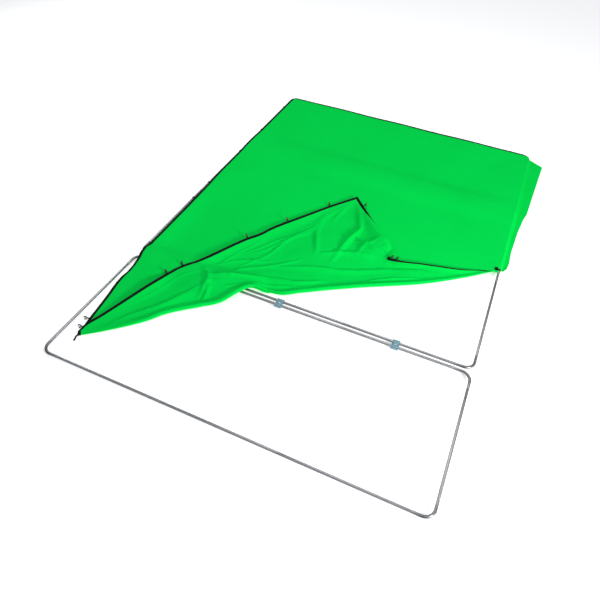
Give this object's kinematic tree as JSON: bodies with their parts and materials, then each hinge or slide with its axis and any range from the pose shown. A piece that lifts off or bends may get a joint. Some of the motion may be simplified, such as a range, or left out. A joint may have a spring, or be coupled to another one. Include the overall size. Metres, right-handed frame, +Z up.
{
  "type": "collapsible backdrop panel",
  "caption": "Collapsible backdrop: tube frames linked by clamps, wings that fold on hinges, and a clip-on chroma fabric cover with one corner turned back.",
  "frame": {"origin": "centre of the whole object's box, on the floor that the clamp knobs rest on", "axes": "+Z up, out of the fabric's face; +Y along the row of frames from the left wing to the right wing; +X from the top of the standing backdrop to its foot"},
  "size_m": [2.785, 4.022, 0.1041],
  "materials": {
    "tube": "drawn tube, satin, with fine lengthwise lines",
    "nylon": "moulded nylon, blue grey, slight sheen",
    "knob": "moulded, fine grain",
    "button": "blackened steel",
    "fabric": "matt chroma green woven fabric, same on both faces"
  },
  "bodies": {
    "centre_frame": {"centre_left_top_elbow": "tube", "centre_left_bottom_elbow": "tube", "centre_left_stile_top": "tube", "centre_left_stile_middle": "tube", "centre_left_stile_bottom": "tube", "centre_right_top_elbow": "tube", "centre_right_bottom_elbow": "tube", "centre_right_stile_top": "tube", "centre_right_stile_middle": "tube", "centre_right_stile_bottom": "tube", "centre_top_rail_left": "tube", "centre_top_rail_right": "tube", "centre_bottom_rail_left": "tube", "centre_bottom_rail_right": "tube", "left_top_clamp": "nylon", "left_middle_clamp": "nylon", "left_bottom_clamp": "nylon", "right_top_clamp": "nylon", "right_middle_clamp": "nylon", "right_bottom_clamp": "nylon", "cover_centre": "fabric"},
    "left_wing": {"left_wing_outer_top_elbow": "tube", "left_wing_outer_bottom_elbow": "tube", "left_wing_outer_stile_top": "tube", "left_wing_outer_stile_middle": "tube", "left_wing_outer_stile_bottom": "tube", "left_wing_inner_top_elbow": "tube", "left_wing_inner_bottom_elbow": "tube", "left_wing_inner_stile_top": "tube", "left_wing_inner_stile_middle": "tube", "left_wing_inner_stile_bottom": "tube", "left_wing_top_rail": "tube", "left_wing_bottom_rail": "tube"},
    "right_wing": {"right_wing_inner_top_elbow": "tube", "right_wing_inner_bottom_elbow": "tube", "right_wing_inner_stile_top": "tube", "right_wing_inner_stile_middle": "tube", "right_wing_inner_stile_bottom": "tube", "right_wing_outer_top_elbow": "tube", "right_wing_outer_bottom_elbow": "tube", "right_wing_outer_stile_top": "tube", "right_wing_outer_stile_middle": "tube", "right_wing_outer_stile_bottom": "tube", "right_wing_top_rail": "tube", "right_wing_bottom_rail": "tube", "cover_right_wing": "fabric"},
    "left_top_knob": {"left_top_knob": "knob"},
    "left_middle_knob": {"left_middle_knob": "knob"},
    "left_bottom_knob": {"left_bottom_knob": "knob"},
    "right_top_knob": {"right_top_knob": "knob"},
    "right_middle_knob": {"right_middle_knob": "knob"},
    "right_bottom_knob": {"right_bottom_knob": "knob"},
    "left_wing_outer_top_button": {"left_wing_outer_top_button": "button"},
    "left_wing_inner_top_button": {"left_wing_inner_top_button": "button"},
    "left_wing_inner_bottom_button": {"left_wing_inner_bottom_button": "button"},
    "left_wing_outer_bottom_button": {"left_wing_outer_bottom_button": "button"},
    "right_wing_inner_top_button": {"right_wing_inner_top_button": "button"},
    "right_wing_outer_top_button": {"right_wing_outer_top_button": "button"},
    "right_wing_outer_bottom_button": {"right_wing_outer_bottom_button": "button"},
    "right_wing_inner_bottom_button": {"right_wing_inner_bottom_button": "button"}
  },
  "joints": [
    {"name": "left_wing_fold", "type": "hinge", "parent": "centre_frame", "child": "left_wing", "pos_m": [0, -0.958, 0.0228], "axis": [-1, 0, 0], "range_deg": [-90, 90]},
    {"name": "right_wing_fold", "type": "hinge", "parent": "centre_frame", "child": "right_wing", "pos_m": [0, 0.958, 0.0228], "axis": [1, 0, 0], "range_deg": [-90, 90]},
    {"name": "left_top_knob_turn", "type": "hinge", "parent": "centre_frame", "child": "left_top_knob", "pos_m": [-1.0425, -0.938, 0.0228], "axis": [0, 0, -1], "range_deg": [0, 270]},
    {"name": "left_middle_knob_turn", "type": "hinge", "parent": "centre_frame", "child": "left_middle_knob", "pos_m": [-0.1625, -0.938, 0.0228], "axis": [0, 0, -1], "range_deg": [0, 270]},
    {"name": "left_bottom_knob_turn", "type": "hinge", "parent": "centre_frame", "child": "left_bottom_knob", "pos_m": [0.7175, -0.938, 0.0228], "axis": [0, 0, -1], "range_deg": [0, 270]},
    {"name": "right_top_knob_turn", "type": "hinge", "parent": "centre_frame", "child": "right_top_knob", "pos_m": [-1.0425, 0.938, 0.0228], "axis": [0, 0, -1], "range_deg": [0, 270]},
    {"name": "right_middle_knob_turn", "type": "hinge", "parent": "centre_frame", "child": "right_middle_knob", "pos_m": [-0.1625, 0.938, 0.0228], "axis": [0, 0, -1], "range_deg": [0, 270]},
    {"name": "right_bottom_knob_turn", "type": "hinge", "parent": "centre_frame", "child": "right_bottom_knob", "pos_m": [0.7175, 0.938, 0.0228], "axis": [0, 0, -1], "range_deg": [0, 270]},
    {"name": "left_wing_outer_top_button_press", "type": "slide", "parent": "left_wing", "child": "left_wing_outer_top_button", "axis": [0, 0, -1], "range_m": [0, 0.003], "stiffness_N_per_m": 1200, "springref_m": -0.002},
    {"name": "left_wing_inner_top_button_press", "type": "slide", "parent": "left_wing", "child": "left_wing_inner_top_button", "axis": [0, 0, -1], "range_m": [0, 0.003], "stiffness_N_per_m": 1200, "springref_m": -0.002},
    {"name": "left_wing_inner_bottom_button_press", "type": "slide", "parent": "left_wing", "child": "left_wing_inner_bottom_button", "axis": [0, 0, -1], "range_m": [0, 0.003], "stiffness_N_per_m": 1200, "springref_m": -0.002},
    {"name": "left_wing_outer_bottom_button_press", "type": "slide", "parent": "left_wing", "child": "left_wing_outer_bottom_button", "axis": [0, 0, -1], "range_m": [0, 0.003], "stiffness_N_per_m": 1200, "springref_m": -0.002},
    {"name": "right_wing_inner_top_button_press", "type": "slide", "parent": "right_wing", "child": "right_wing_inner_top_button", "axis": [0, 0, -1], "range_m": [0, 0.003], "stiffness_N_per_m": 1200, "springref_m": -0.002},
    {"name": "right_wing_outer_top_button_press", "type": "slide", "parent": "right_wing", "child": "right_wing_outer_top_button", "axis": [0, 0, -1], "range_m": [0, 0.003], "stiffness_N_per_m": 1200, "springref_m": -0.002},
    {"name": "right_wing_outer_bottom_button_press", "type": "slide", "parent": "right_wing", "child": "right_wing_outer_bottom_button", "axis": [0, 0, -1], "range_m": [0, 0.003], "stiffness_N_per_m": 1200, "springref_m": -0.002},
    {"name": "right_wing_inner_bottom_button_press", "type": "slide", "parent": "right_wing", "child": "right_wing_inner_bottom_button", "axis": [0, 0, -1], "range_m": [0, 0.003], "stiffness_N_per_m": 1200, "springref_m": -0.002}
  ]
}
